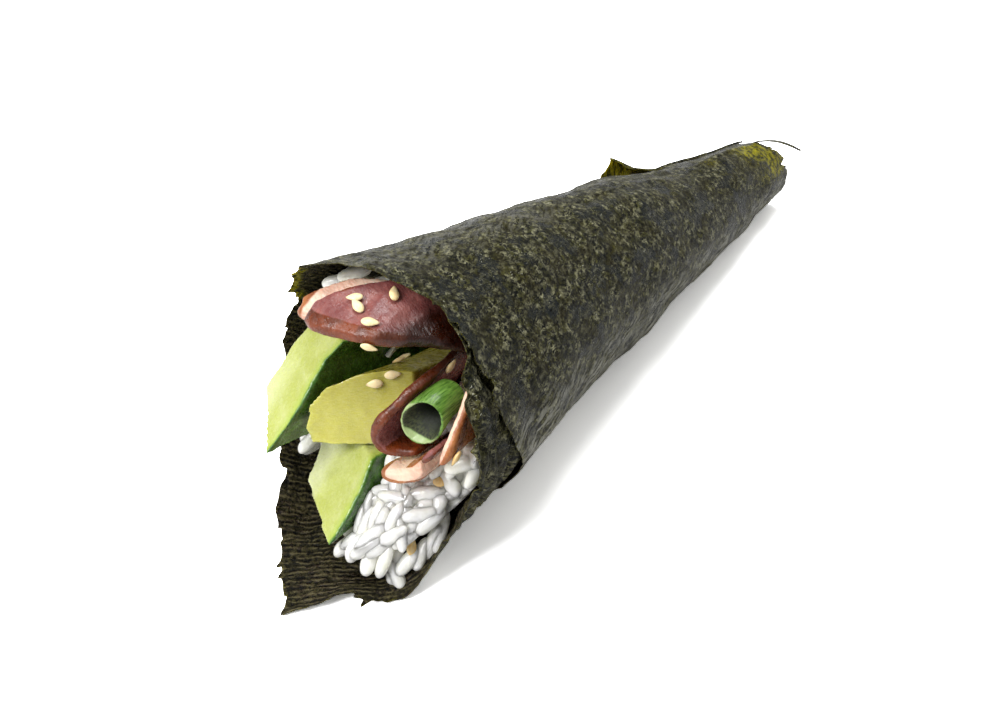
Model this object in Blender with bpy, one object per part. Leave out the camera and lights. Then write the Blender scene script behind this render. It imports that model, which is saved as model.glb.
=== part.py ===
"""Temaki hand roll: one sheet of nori wound to a slender cone, filled at its mouth with rice, cucumber,
pickled radish, smoked duck and spring onion.

The roll lies on its side.  The cone's apex would be on the ground at +Y, its mouth opens to -Y and a little
upwards, and +X is the side where the outside edge of the sheet overlaps the inside one.  Lengths are in
millimetres and become metres when a mesh is made.
"""
from math import cos, exp, hypot, pi, radians, sin, tan

import bmesh
import bpy
from mathutils import Matrix, Vector

MM = 0.001
GAP = 0.35                      # clearance between pieces that touch

# The cone.
HALF_ANGLE = radians(6.8)
APEX_Y = 181.0                  # distance of the virtual apex from the middle of the roll
FLAT_DEPTH = 0.5                # how far the round underside is pressed flat on the ground

# The nori sheet.  A turn is an angle round the cone in degrees: 0 at the top, 90 at +X, 180 underneath.
SHEET = 0.5                     # thickness
LAYER_PITCH = 0.9               # radius gained in one whole turn
OUTSIDE_TURN = 540              # where the outside layer passes underneath
FIRST_TURN = 20                 # hidden inside edge of the sheet
LAST_TURN = 830                 # outside corner of the sheet, near the tip
TURN_STEP = 10
SHEET_ROWS = 10
TIP_DISTANCE = 83.0             # open narrow end, measured along the axis from the apex
SHEET_EDGE = [                  # (turn, distance from the apex) along the front and outside edges
    (20, 246), (44, 248), (60, 254), (80, 255), (104, 255), (120, 258), (134, 265), (145, 270), (156, 273),
    (165, 278), (170, 282), (174, 279), (188, 273), (202, 268), (218, 261), (232, 257), (262, 250),
    (290, 248), (320, 253), (336, 257), (352, 254), (374, 250), (384, 246.5), (400, 248), (426, 247),
    (442, 244), (470, 237), (505, 241), (550, 250), (572, 232), (593, 207), (618, 183), (644, 161),
    (673, 143), (703, 129), (733, 118), (787, 102), (830, 92),
]
FLAP_SPREAD = 1.6               # the front flap's shift to +X
FLAP_BOW = 3.2                  # height of the arch in its edge
CORNER_TURN = 672               # the sheet's outside edge stands up here
CORNER_WIDTH = 17               # in degrees
CORNER_LENGTH = 12.0
CORNER_RISE = 6.6

# Fillings run towards a point near the apex, so that they narrow with the cone and keep their clearances.
MOUTH_Y = -70.0                 # plane in which sections are given
FOCUS_Y = 158.0
FILLING_END_Y = -10.0

# Rice.
RICE_END = 100.0                # distance of its hidden end from the apex
RICE_COLUMNS = 36
RICE_ROWS = 7
RICE_RINGS = 6
RICE_LUMPS = [                  # (x, z, half width, half height, length) of bulges and hollows of its front
    (12, 7, 13, 13, 26), (-17, 13, 7, 5, 15), (26, 30, 7, 8, 9), (-11, 53, 6, 5, 4), (0, 38, 11, 9, -30),
    (18, 41, 5, 5, -24),
]

COLOURS = {
    "nori": (0.020, 0.024, 0.013), "rice": (0.80, 0.80, 0.76), "cucumber": (0.50, 0.66, 0.24),
    "radish": (0.62, 0.60, 0.13), "duck": (0.30, 0.085, 0.085), "duck_fat": (0.66, 0.38, 0.27),
    "onion": (0.09, 0.20, 0.04),
}
ROUGHNESS = {"nori": 0.45, "rice": 0.3, "cucumber": 0.3, "radish": 0.25, "duck": 0.25, "duck_fat": 0.3,
             "onion": 0.35}


def material(name):
    found = bpy.data.materials.get(name)
    if found:
        return found
    made = bpy.data.materials.new(name)
    made.use_nodes = True
    shader = made.node_tree.nodes["Principled BSDF"]
    shader.inputs["Base Color"].default_value = (*COLOURS[name], 1.0)
    shader.inputs["Roughness"].default_value = ROUGHNESS[name]
    shader.inputs["Metallic"].default_value = 0.0
    made.diffuse_color = (*COLOURS[name], 1.0)
    return made


def solid(name, points, faces, material_name):
    """Make an object of a closed mesh given in millimetres, with its faces turned outwards."""
    mesh = bpy.data.meshes.new(name)
    mesh.from_pydata([Vector(point) * MM for point in points], [], faces)
    work = bmesh.new()
    work.from_mesh(mesh)
    bmesh.ops.recalc_face_normals(work, faces=work.faces)
    work.to_mesh(mesh)
    work.free()
    mesh.shade_smooth()
    mesh.set_sharp_from_angle(angle=radians(35))
    made = bpy.data.objects.new(name, mesh)
    bpy.context.scene.collection.objects.link(made)
    made.data.materials.append(material(material_name))
    return made


def smooth_step(value):
    value = min(max(value, 0.0), 1.0)
    return value * value * (3 - 2 * value)


def catmull_rom(points, steps):
    """Smooth curve through points of any dimension, with so many steps between each two."""
    padded = [points[0], *points, points[-1]]
    curve = []
    for p0, p1, p2, p3 in zip(padded, padded[1:], padded[2:], padded[3:]):
        for step in range(steps):
            t = step / steps
            curve.append(tuple(
                b + 0.5 * (c - a) * t + (a - 2.5 * b + 2 * c - 0.5 * d) * t ** 2
                + 0.5 * (3 * b - a - 3 * c + d) * t ** 3
                for a, b, c, d in zip(p0, p1, p2, p3)))
    curve.append(tuple(points[-1]))
    return curve


# ---------------------------------------------------------------- cone

AXIS = Vector((0, -cos(HALF_ANGLE), sin(HALF_ANGLE)))
UP = Vector((0, sin(HALF_ANGLE), cos(HALF_ANGLE)))
SIDE = Vector((1, 0, 0))
APEX = Vector((0, APEX_Y, -FLAT_DEPTH))


def cone_point(distance, turn, inset, floor):
    """Point at a distance from the apex and a turn, so far inside the cone, and not below floor."""
    radius = distance * tan(HALF_ANGLE) - inset
    angle = radians(turn)
    point = APEX + distance * AXIS + radius * (cos(angle) * UP + sin(angle) * SIDE)
    point.z = max(point.z, floor)
    return point


def layer_inset(turn):
    return (OUTSIDE_TURN - turn) / 360 * LAYER_PITCH


def edge_distance(turn):
    """Distance of the sheet's free edge from the apex."""
    for (turn_a, far_a), (turn_b, far_b) in zip(SHEET_EDGE, SHEET_EDGE[1:]):
        if turn_a <= turn <= turn_b:
            return far_a + (far_b - far_a) * (turn - turn_a) / (turn_b - turn_a)
    return SHEET_EDGE[-1][1]


def nori_point(distance, turn, depth):
    """Point of the sheet, depth below its outer surface."""
    inset = layer_inset(turn) + depth
    beyond = smooth_step((distance - 252) / 10)
    if turn < 360:
        floor = LAYER_PITCH * (1 - beyond) + depth
    else:
        floor = depth
    point = cone_point(distance, turn, inset, floor)
    # The front flap spreads flat towards +X, and its edge bows up off the ground.
    if turn < 180:
        spread = smooth_step((distance - 248) / 20)
        spread *= smooth_step((turn - 112) / 28) * smooth_step((172 - turn) / 10)
        point.z += (floor - point.z) * spread
        point.x += FLAP_SPREAD * spread
        bow = sin(pi * min(max((turn - 142) / 28, 0), 1))
        point.z += FLAP_BOW * bow * smooth_step((distance - 262) / 12)
    # A corner of the outside edge stands up on the far side.
    window = max(0.0, 1 - abs(turn - CORNER_TURN) / CORNER_WIDTH)
    near_edge = smooth_step((distance - edge_distance(turn) + CORNER_LENGTH) / CORNER_LENGTH)
    angle = radians(turn)
    point += CORNER_RISE * window * near_edge * (cos(angle) * UP + 0.3 * sin(angle) * SIDE)
    return point


def make_nori():
    turns = list(range(FIRST_TURN, LAST_TURN + 1, TURN_STEP))
    points = []
    for turn in turns:
        far = edge_distance(turn)
        for row in range(SHEET_ROWS + 1):
            part = 1 - (1 - row / SHEET_ROWS) ** 1.5
            distance = TIP_DISTANCE + (far - TIP_DISTANCE) * part
            points.append(nori_point(distance, turn, 0))
            points.append(nori_point(distance, turn, SHEET))
    rows = SHEET_ROWS + 1

    def index(column, row, side):
        return 2 * (column * rows + row) + side

    faces = []
    for column in range(len(turns) - 1):
        for row in range(SHEET_ROWS):
            for side in (0, 1):
                corners = [index(column, row, side), index(column + 1, row, side),
                           index(column + 1, row + 1, side), index(column, row + 1, side)]
                faces.append(corners if side == 0 else corners[::-1])
        for row in (0, SHEET_ROWS):
            corners = [index(column, row, 0), index(column, row, 1),
                       index(column + 1, row, 1), index(column + 1, row, 0)]
            faces.append(corners if row == 0 else corners[::-1])
    for column in (0, len(turns) - 1):
        for row in range(SHEET_ROWS):
            corners = [index(column, row, 0), index(column, row + 1, 0),
                       index(column, row + 1, 1), index(column, row, 1)]
            faces.append(corners if column == 0 else corners[::-1])
    return solid("nori", points, faces, "nori")


# ---------------------------------------------------------------- fillings

def narrowing(y):
    """Scale of a section at y, which is 1 at the mouth."""
    return (FOCUS_Y - y) / (FOCUS_Y - MOUTH_Y)


def place(x, z, y):
    return (x * narrowing(y), y, z * narrowing(y))


def stick(name, section, cut, material_name, grow=0.0):
    """Straight piece along Y with a section of (x, z) points, cut off at its front by a sloping plane.

    cut is (y at the first point of the section, rise of y per x, rise of y per z).
    """
    start_y, per_x, per_z = cut
    first_x, first_z = section[0]
    mid_x = sum(x for x, z in section) / len(section)
    mid_z = sum(z for x, z in section) / len(section)
    length = FOCUS_Y - MOUTH_Y
    offset = start_y - (per_x * first_x + per_z * first_z) * narrowing(start_y) - 2 * grow
    front = []
    back = []
    for x, z in section:
        reach = hypot(x - mid_x, z - mid_z)
        wide_x = mid_x + (x - mid_x) * (1 + grow / reach)
        wide_z = mid_z + (z - mid_z) * (1 + grow / reach)
        slope = per_x * wide_x + per_z * wide_z
        y = (slope * (1 + MOUTH_Y / length) + offset) / (1 + slope / length)
        front.append(place(wide_x, wide_z, y))
        back.append(place(wide_x, wide_z, FILLING_END_Y + grow))
    count = len(section)
    faces = [list(range(count)), list(range(2 * count - 1, count - 1, -1))]
    for i in range(count):
        j = (i + 1) % count
        faces.append([i, count + i, count + j, j])
    return solid(name, front + back, faces, material_name)


def slice_of(name, path, thickness, material_name, far_path=None, grow=0.0):
    """Thin curved slice with rounded edges.

    path holds (x, z, y) along the middle of its front edge, and far_path the same along its far edge.
    Without far_path the slice runs straight into the roll.
    """
    near = catmull_rom(path, 2)
    far = catmull_rom(far_path, 2) if far_path else [(x, z, FILLING_END_Y) for x, z, _ in near]
    last = len(near) - 1
    bevel = min(0.35 * thickness, 1.2)
    rings = []
    for i in range(last + 1):
        half = thickness / 2 * (0.62 if i in (0, last) else 1.0) + grow
        shift = {0: -grow, last: grow}.get(i, 0.0)
        depth = far[i][2] - near[i][2]
        outline = [(1, -grow + bevel), (0.55, -grow), (-0.55, -grow), (-1, -grow + bevel)]
        if far_path:
            outline += [(-1, depth + grow - bevel), (-0.55, depth + grow), (0.55, depth + grow),
                        (1, depth + grow - bevel)]
        else:
            outline += [(-1, depth + grow), (1, depth + grow)]
        ring = []
        for side, inwards in outline:
            share = inwards / depth
            along_x, along_z = slice_heading(near if share < 0.5 else far, i)
            x, z, y = (a + (b - a) * share for a, b in zip(near[i], far[i]))
            px = x + along_x * shift - along_z * half * side
            pz = z + along_z * shift + along_x * half * side
            ring.append(place(px, pz, y))
        rings.append(ring)
    size = len(rings[0])
    points = [point for ring in rings for point in ring]
    faces = [list(range(size)), [last * size + k for k in reversed(range(size))]]
    for i in range(last):
        for k in range(size):
            n = (k + 1) % size
            faces.append([i * size + k, (i + 1) * size + k, (i + 1) * size + n, i * size + n])
    return solid(name, points, faces, material_name)


def slice_heading(curve, i):
    """Direction of a curve of (x, z, y) at its point i, in the plane across the roll."""
    before = curve[max(i - 1, 0)]
    after = curve[min(i + 1, len(curve) - 1)]
    span = hypot(after[0] - before[0], after[1] - before[1])
    return (after[0] - before[0]) / span, (after[1] - before[1]) / span


def tube(name, path, wall, front_cut, material_name, sides=18, grow=0.0, filled=False):
    """Hollow stalk along a curved path of (x, y, z, radius).

    front_cut is how far its front end is cut back on the right and on top.
    """
    curve = catmull_rom(path, 3)
    centres = [Vector(entry[:3]) for entry in curve]
    last = len(curve) - 1
    points = []
    travelled = 0.0
    for i, centre in enumerate(centres):
        before = centres[max(i - 1, 0)]
        heading = (centres[min(i + 1, last)] - before).normalized()
        right = heading.cross(Vector((0, 0, 1))).normalized()
        above = right.cross(heading)
        travelled += (centre - before).length
        cut_share = max(0.0, 1 - travelled / (3 * max(front_cut)))
        end_shift = heading * grow * {0: -1, last: 1}.get(i, 0)
        radius = curve[i][3]
        for layer in ([radius + grow] if filled else [radius, radius - wall]):
            for k in range(sides):
                angle = 2 * pi * k / sides
                cut_back = front_cut[0] * cos(angle) + front_cut[1] * sin(angle)
                points.append(centre + end_shift + cut_share * cut_back * heading
                              + layer * (cos(angle) * right + sin(angle) * above))
    loops = 1 if filled else 2

    def index(i, layer, k):
        return (i * loops + layer) * sides + k % sides

    faces = []
    for i in range(last):
        for layer in range(loops):
            for k in range(sides):
                faces.append([index(i, layer, k), index(i, layer, k + 1),
                              index(i + 1, layer, k + 1), index(i + 1, layer, k)])
    for i in (0, last):
        if filled:
            faces.append([index(i, 0, k) for k in range(sides)])
        else:
            for k in range(sides):
                faces.append([index(i, 0, k), index(i, 0, k + 1), index(i, 1, k + 1), index(i, 1, k)])
    return solid(name, points, faces, material_name)


CUCUMBER_UPPER = {
    "section": [(-11.7, 18.9), (-10.7, 24.0), (-10.2, 29.0), (-11.2, 34.8), (-9.4, 38.9), (-17.1, 39.5),
                (-22.6, 36.0), (-24.4, 30.8), (-23.9, 23.8)],
    "cut": (-88.0, -0.515, 1.257), "material_name": "cucumber",
}
CUCUMBER_LOWER = {
    "section": [(5.5, 7.4), (6.2, 11.5), (5.9, 15.5), (4.5, 19.3), (-9.6, 19.3), (-13.4, 16.4),
                (-13.7, 14.4), (-9.7, 8.4)],
    "cut": (-90.0, -0.515, 1.257), "material_name": "cucumber",
}
RADISH = {
    "section": [(-7.4, 19.8), (-9.1, 22.9), (-9.4, 27.4), (-8.1, 31.2), (-4.0, 34.3), (0.6, 36.0),
                (4.7, 35.9), (5.9, 31.7), (5.8, 20.0)],
    "cut": (-79.8, 0.86, 0.55), "material_name": "radish",
}
SLICES = {
    "duck_top": {
        "path": [(-7.9, 48.5, -76.4), (-4.4, 49.4, -78.0), (2.0, 50.4, -76.5), (8.6, 51.2, -74.2),
                 (13.8, 50.1, -67.0), (17.2, 48.0, -62.0), (20.8, 44.5, -57.0)],
        "far_path": [(-7.8, 50.2, -73.4), (-4.0, 54.4, -70.2), (2.4, 57.0, -61.0), (8.8, 55.2, -55.0),
                     (13.6, 52.0, -50.0), (17.0, 49.2, -46.0), (20.5, 45.3, -42.0)],
        "thickness": 3.0, "material_name": "duck"},
    "duck_back": {
        "path": [(-12.9, 48.2, -73.9), (-11.6, 47.7, -75.0), (-9.6, 47.3, -75.0), (-6.0, 46.9, -73.5),
                 (-2.0, 47.2, -71.0)],
        "far_path": [(-12.3, 49.8, -71.6), (-11.2, 51.2, -69.8), (-8.8, 53.3, -66.6), (-5.6, 54.8, -62.8),
                     (-1.2, 55.2, -60.0)],
        "thickness": 2.6, "material_name": "duck_fat"},
    "duck_curl": {
        "path": [(14.0, 45.4, -58.0), (13.7, 43.0, -63.5), (12.6, 40.2, -69.0), (10.8, 36.8, -73.0),
                 (9.0, 33.2, -76.2), (8.2, 29.8, -77.6), (9.4, 27.1, -77.2), (12.4, 26.2, -75.0),
                 (15.2, 27.0, -73.0)],
        "thickness": 2.0, "material_name": "duck"},
    "duck_fat": {
        "path": [(10.3, 21.8, -78.0), (13.3, 22.4, -78.0), (16.6, 24.3, -77.0), (18.8, 26.8, -75.6)],
        "thickness": 3.6, "material_name": "duck_fat"},
    "duck_tip": {
        "path": [(19.2, 29.2, -76.0), (20.6, 31.0, -76.0), (21.6, 32.9, -75.4)],
        "thickness": 1.5, "material_name": "duck"},
    "duck_side": {
        "path": [(21.9, 44.2, -63.0), (23.0, 41.0, -66.5), (23.6, 37.2, -70.5), (23.9, 33.6, -74.0),
                 (23.6, 31.0, -75.6)],
        "thickness": 2.0, "material_name": "duck_fat"},
}
SPRING_ONION = {
    "path": [(16.5, -72.0, 35.1, 4.3), (16.8, -69.5, 36.6, 3.9), (16.9, -67.0, 37.2, 3.6),
             (16.8, -64.0, 37.1, 3.5)],
    "wall": 0.7, "front_cut": (2.0, 3.2), "material_name": "onion",
}


def make_fillings():
    stick("cucumber_upper", **CUCUMBER_UPPER)
    stick("cucumber_lower", **CUCUMBER_LOWER)
    stick("pickled_radish", **RADISH)
    for name, shape in SLICES.items():
        slice_of(name, **shape)
    tube("spring_onion", **SPRING_ONION)


# ---------------------------------------------------------------- rice

def rice_front(x, z):
    """How far the heap of rice reaches out of the mouth at (x, z)."""
    reach = -61.0
    for lump_x, lump_z, wide, high, length in RICE_LUMPS:
        reach -= length * exp(-((x - lump_x) / wide) ** 2 - ((z - lump_z) / high) ** 2)
    return reach + 0.7 * sin(0.9 * x + 0.4 * z) + 0.6 * sin(0.5 * x - 0.8 * z + 1.0)


def rice_point(distance, angle, share):
    """Point of the rice: share is 1 at the nori and 0 on the axis."""
    turn = angle if angle >= FIRST_TURN else angle + 360
    inset = layer_inset(turn) + SHEET + GAP
    near_seam = smooth_step((turn - 330) / 40)
    inset += near_seam * (layer_inset(FIRST_TURN) - layer_inset(FIRST_TURN + 360))
    radius = distance * tan(HALF_ANGLE) - inset
    centre = APEX + distance * AXIS
    way = cos(radians(angle)) * UP + sin(radians(angle)) * SIDE
    point = centre + share * radius * way
    point.z = max(point.z, LAYER_PITCH + SHEET + GAP)
    return point


def front_rice_point(angle, share):
    distance = 245.0
    for _ in range(80):
        point = rice_point(distance, angle, share)
        distance += 0.4 * (point.y - rice_front(point.x, point.z))
        distance = min(max(distance, 195.0), 272.0)
    return distance, rice_point(distance, angle, share)


def make_rice():
    angles = [360 * k / RICE_COLUMNS for k in range(RICE_COLUMNS)]
    points = []
    for angle in angles:
        far, _ = front_rice_point(angle, 1.0)
        for row in range(RICE_ROWS + 1):
            distance = RICE_END + (far - RICE_END) * (row / RICE_ROWS)
            points.append(rice_point(distance, angle, 1.0))
        for ring in range(1, RICE_RINGS):
            points.append(front_rice_point(angle, 1 - ring / RICE_RINGS)[1])
    column = RICE_ROWS + RICE_RINGS
    middle = len(points)
    points.append(front_rice_point(0.0, 0.0)[1])
    back = len(points)
    points.append(rice_point(RICE_END, 0.0, 0.0))
    faces = []
    for k in range(RICE_COLUMNS):
        here = k * column
        there = (k + 1) % RICE_COLUMNS * column
        for row in range(column - 1):
            faces.append([here + row, there + row, there + row + 1, here + row + 1])
        faces.append([here + column - 1, there + column - 1, middle])
        faces.append([there, here, back])
    rice = solid("rice", points, faces, "rice")

    cutters = [
        stick("cut_1", **CUCUMBER_UPPER, grow=2 * GAP),
        stick("cut_2", **CUCUMBER_LOWER, grow=2 * GAP),
        stick("cut_3", **RADISH, grow=2 * GAP),
        tube("cut_4", **SPRING_ONION, grow=GAP, filled=True),
    ]
    for name, shape in SLICES.items():
        cutters.append(slice_of("cut_" + name, **shape, grow=1.7 * GAP))
    for cutter in cutters:
        cut = rice.modifiers.new(cutter.name, "BOOLEAN")
        cut.operation = "DIFFERENCE"
        cut.solver = "EXACT"
        cut.object = cutter
    evaluated = rice.evaluated_get(bpy.context.evaluated_depsgraph_get())
    carved = bpy.data.meshes.new_from_object(evaluated)
    rice.modifiers.clear()
    rice.data = carved
    for cutter in cutters:
        bpy.data.objects.remove(cutter)
    keep_largest_body(carved)
    return rice


def keep_largest_body(mesh):
    """Drop crumbs of rice that the fillings cut off from the rest."""
    work = bmesh.new()
    work.from_mesh(mesh)
    bmesh.ops.remove_doubles(work, verts=work.verts, dist=0.00001)
    left = set(work.verts)
    bodies = []
    while left:
        seed = left.pop()
        body = {seed}
        border = [seed]
        while border:
            for edge in border.pop().link_edges:
                for vert in edge.verts:
                    if vert in left:
                        left.remove(vert)
                        body.add(vert)
                        border.append(vert)
        bodies.append(body)
    bodies.sort(key=len)
    for body in bodies[:-1]:
        bmesh.ops.delete(work, geom=list(body), context="VERTS")
    work.to_mesh(mesh)
    work.free()


def stand_on_origin():
    """Move everything so that the origin is on the ground in the middle of the bounding box."""
    meshes = [item.data for item in bpy.data.objects]
    points = [vert.co for mesh in meshes for vert in mesh.vertices]
    low = Vector([min(point[k] for point in points) for k in range(3)])
    high = Vector([max(point[k] for point in points) for k in range(3)])
    shift = Vector((-(low.x + high.x) / 2, -(low.y + high.y) / 2, -low.z))
    for mesh in meshes:
        mesh.transform(Matrix.Translation(shift))


def main():
    for item in list(bpy.data.objects):
        bpy.data.objects.remove(item)
    make_nori()
    make_fillings()
    make_rice()
    stand_on_origin()


main()
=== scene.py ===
from math import cos, pi, radians, sin, tan

import bmesh
import bpy
import numpy as np
from mathutils import Matrix, Vector
from mathutils.bvhtree import BVHTree


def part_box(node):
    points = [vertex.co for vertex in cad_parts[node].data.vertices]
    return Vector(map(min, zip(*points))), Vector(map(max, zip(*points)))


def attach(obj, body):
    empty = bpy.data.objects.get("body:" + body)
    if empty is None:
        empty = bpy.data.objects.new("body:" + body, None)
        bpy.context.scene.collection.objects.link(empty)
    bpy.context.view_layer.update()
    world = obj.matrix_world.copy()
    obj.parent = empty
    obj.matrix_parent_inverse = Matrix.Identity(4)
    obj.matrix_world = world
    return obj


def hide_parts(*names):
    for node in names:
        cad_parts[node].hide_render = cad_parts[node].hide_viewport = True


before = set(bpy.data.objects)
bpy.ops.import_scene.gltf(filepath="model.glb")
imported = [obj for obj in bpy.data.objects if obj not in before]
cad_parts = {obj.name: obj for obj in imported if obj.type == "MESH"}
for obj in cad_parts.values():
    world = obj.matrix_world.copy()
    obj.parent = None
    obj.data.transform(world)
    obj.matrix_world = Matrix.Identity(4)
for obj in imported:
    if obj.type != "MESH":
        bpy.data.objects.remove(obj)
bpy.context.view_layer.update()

MM = 0.001

# The cone of nori, measured from its virtual apex beyond the narrow end.
TIP_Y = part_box("nori")[1][1] / MM
APEX = np.array((-0.11, TIP_Y + 81.19, -0.5))
HALF_ANGLE = radians(6.8)
AXIS = np.array((0, -cos(HALF_ANGLE), sin(HALF_ANGLE)))
UP = np.array((0, sin(HALF_ANGLE), cos(HALF_ANGLE)))
SIDE = np.array((1.0, 0, 0))
SHEET_TOP = 0.08                # the sheet lies between these two depths in its layer
SHEET_BOTTOM = 0.36
LAYER_PITCH = 0.9               # radius gained in one whole turn
GROUND_GAP = 0.05               # the sheet keeps this far above the ground
OUTSIDE_TURN = 540              # a turn is an angle round the cone: 0 at the top, 90 at +X, 180 underneath
INNER_SEAM = 222                # the sheet is made in three pieces that meet at these turns
OUTER_SEAM = 540
MIDDLE_TORN = 322               # from this turn on, the middle piece shows at the narrow end
SHEET_END = 684
TIP_DISTANCE = 83.0
SHEET_EDGE = [                  # (turn, distance from the apex) along the front and outside edges
    (20, 246), (44, 248), (60, 254), (80, 255), (104, 255), (120, 258), (134, 265), (145, 270), (156, 273),
    (165, 278), (170, 282), (174, 279), (188, 273), (202, 268), (218, 261), (232, 257), (262, 250),
    (290, 248), (320, 253), (336, 257), (352, 254), (374, 250), (384, 246.5), (400, 248), (426, 247),
    (442, 244), (470, 237), (505, 241), (550, 250), (572, 232), (593, 207), (618, 183), (644, 161),
    (662, 149), (673, 142), (678, 128), (681, 106), (SHEET_END, 88),
]
FLAP_CORNERS = [(145, 270), (170, 282)]     # the flap's straight edge, as (turn, distance)
FLAP_SPREAD = 1.6               # the flap lies this much farther to +X than the cone
FLAP_BOW = 3.2                  # its front edge stands up in a bow this high
CORNER_TURN = 667               # a torn corner stands up on top, towards the narrow end
CORNER_WIDTH = 10               # in degrees of turn, to each side
CORNER_LENGTH = 9.5
CORNER_RISE = 9.5
SPIKES = [                      # loose slivers of the torn edge: turn, half width in degrees, length
    (148.5, 1.0, 2.6), (183, 1.1, 1.4), (187, 1.2, 1.7), (298, 2.5, 1.4), (312, 3.0, 1.2),
    (427, 1.3, 1.5), (384, 1.2, 1.2), (404, 1.2, 1.0),
]
FILLINGS_APEX = TIP_Y + 58.19   # the fillings would narrow to nothing at this Y
FILLINGS_LENGTH = 228           # from there to the mouth


# ---------------------------------------------------------------- numbers

def smooth_step(value):
    value = np.clip(value, 0.0, 1.0)
    return value * value * (3 - 2 * value)


def ramp(value, start, length):
    """0 at start and 1 a length farther on, or back where the length is negative, and smooth between."""
    return smooth_step((value - start) / length)


def peak(value, middle, width):
    """1 at the middle, falling in straight lines to 0 a width to each side."""
    return np.clip(1 - np.abs(value - middle) / width, 0, 1)


def noise(points, size, seed, octaves=1):
    """Smooth random field from -1 to 1 at points, with features of the given size (one number or three)."""
    total = 0.0
    weight = 1.0
    weights = 0.0
    place = np.asarray(points, float) / np.asarray(size, float)
    for octave in range(octaves):
        table = np.random.default_rng(seed + 101 * octave).random((64, 64, 64)) * 2 - 1
        cell = np.floor(place).astype(int)
        part = smooth_step(place - cell)
        low = cell % 64
        high = (cell + 1) % 64
        value = 0.0
        for corner in range(8):
            bits = [(corner >> axis) & 1 for axis in range(3)]
            index = [np.where(bit, high[..., axis], low[..., axis]) for axis, bit in enumerate(bits)]
            share = 1.0
            for axis, bit in enumerate(bits):
                share = share * (part[..., axis] if bit else 1 - part[..., axis])
            value = value + share * table[index[0], index[1], index[2]]
        total = total + weight * value
        weights += weight
        weight *= 0.5
        place = place * 2.03 + 17.3
    return total / weights * 1.6


# ---------------------------------------------------------------- meshes

def new_object(name, data):
    made = bpy.data.objects.new(name, data)
    bpy.context.scene.collection.objects.link(made)
    return made


def add_object(name, points, faces, material, nodes=(), attributes=()):
    """Object from points in millimetres, which rides on the roll and stands for the CAD nodes named."""
    mesh = bpy.data.meshes.new(name)
    mesh.from_pydata((np.asarray(points) * MM).tolist(), [], [list(map(int, face)) for face in faces])
    mesh.shade_smooth()
    made = new_object(name, mesh)
    mesh.materials.append(material)
    for key, values in dict(attributes).items():
        add_attribute(mesh, key, values)
    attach(made, "root")
    if nodes:
        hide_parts(*nodes)


def add_attribute(mesh, key, values):
    values = np.asarray(values, np.float32)
    if values.ndim == 1:
        mesh.attributes.new(key, "FLOAT", "POINT").data.foreach_set("value", values)
    else:
        mesh.attributes.new(key, "FLOAT_VECTOR", "POINT").data.foreach_set("vector", values.ravel())


def outward(points, faces):
    """The faces, turned round if the closed mesh is inside out."""
    points = np.asarray(points)
    volume = 0.0
    for face in faces:
        a, b, c = points[face[0]], points[face[1]], points[face[2]]
        volume += np.dot(a, np.cross(b, c))
        if len(face) == 4:
            volume += np.dot(a, np.cross(c, points[face[3]]))
    return faces if volume > 0 else [tuple(reversed(face)) for face in faces]


def node_mesh(name):
    """Points in millimetres and faces of a CAD node, with its split corners joined."""
    work = bmesh.new()
    work.from_mesh(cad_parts[name].data)
    bmesh.ops.remove_doubles(work, verts=work.verts, dist=1e-6)
    points = np.array([vert.co[:] for vert in work.verts]) / MM
    faces = [tuple(vert.index for vert in face.verts) for face in work.faces]
    work.free()
    return points, faces


def narrowing(y):
    """Scale of the fillings' section at y, which is 1 at the mouth."""
    return (FILLINGS_APEX - y) / FILLINGS_LENGTH


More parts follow.
